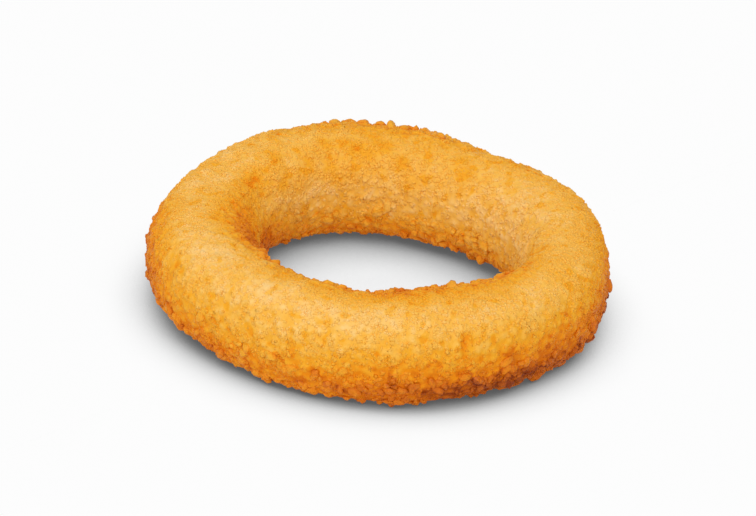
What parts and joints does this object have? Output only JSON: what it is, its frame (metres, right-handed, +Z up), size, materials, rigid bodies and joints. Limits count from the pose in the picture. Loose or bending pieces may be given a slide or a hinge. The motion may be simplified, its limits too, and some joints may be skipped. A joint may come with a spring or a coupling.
{
  "type": "onion ring",
  "caption": "Breaded and fried onion ring lying flat: a rounded, uneven band of golden crumb crust bent into a loop round an open hole.",
  "frame": {"origin": "on the surface the ring lies on, under the middle of its outer box", "axes": "+Z up out of the hole, +X to the right and +Y to the back as seen from the front"},
  "size_m": [0.0652, 0.063, 0.015],
  "materials": {
    "crumb_crust": "dry golden crumb crust, fine grained, mottled from pale gold on the crown to orange and toasted brown at the hole's rim and underneath"
  },
  "bodies": {
    "root": {"onion_ring": "crumb_crust"}
  },
  "joints": []
}
